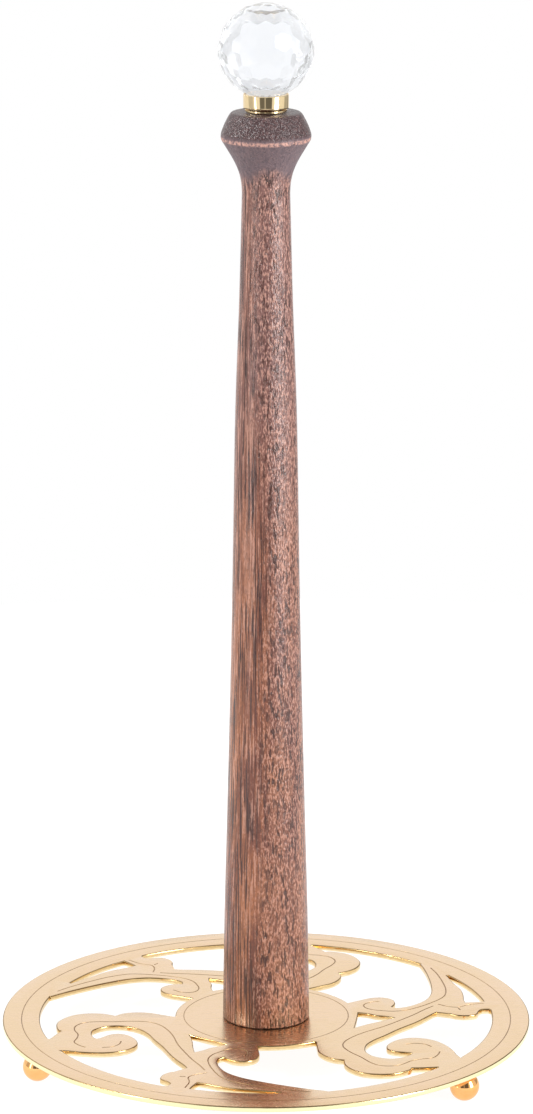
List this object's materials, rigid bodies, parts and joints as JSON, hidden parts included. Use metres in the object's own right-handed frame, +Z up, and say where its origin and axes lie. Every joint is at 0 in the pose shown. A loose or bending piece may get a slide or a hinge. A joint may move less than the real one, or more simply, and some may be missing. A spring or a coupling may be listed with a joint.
{
  "type": "paper towel holder",
  "caption": "Countertop paper towel holder: a pierced scroll-work brass base on ball feet, a tapered turned wooden post and a screw-on faceted crystal ball finial.",
  "frame": {"origin": "on the post's axis, on the surface that the ball feet stand on", "axes": "+Z up along the post, +X to the right and -Y towards the viewer, with one foot at the back"},
  "size_m": [0.178, 0.178, 0.3551],
  "materials": {
    "satin_brass": "satin brushed gold, lacquered",
    "polished_brass": "mirror polished gold",
    "insert_brass": "plain turned",
    "zinc_steel": "zinc plated",
    "lacquered_wood": "dark red-brown stain under semi-gloss lacquer",
    "crystal": "clear cut crystal, flat polished facets"
  },
  "bodies": {
    "holder": {"base_plate": "satin_brass", "ball_foot_right": "polished_brass", "ball_foot_left": "polished_brass", "ball_foot_back": "polished_brass", "base_screw": "zinc_steel", "base_lock_washer": "zinc_steel", "base_flat_washer": "zinc_steel", "post_bottom_insert": "insert_brass", "turned_post": "lacquered_wood", "post_top_insert": "insert_brass"},
    "finial_lift_ring": {"finial_seat_washer": "polished_brass"},
    "finial": {"finial_ferrule": "polished_brass", "finial_stud": "zinc_steel", "crystal_ball": "crystal"}
  },
  "joints": [
    {"name": "finial_lift", "type": "slide", "parent": "holder", "child": "finial_lift_ring", "axis": [0, 0, 1], "range_m": [0, 0.0126]},
    {"name": "finial_turn", "type": "hinge", "parent": "finial_lift_ring", "child": "finial", "pos_m": [0, 0, 0.32], "axis": [0, 0, 1], "range_deg": [0, 4500]}
  ],
  "couplings": [
    {"joint": "finial_lift", "follows": "finial_turn", "m_per_rad": 0.00015915}
  ]
}
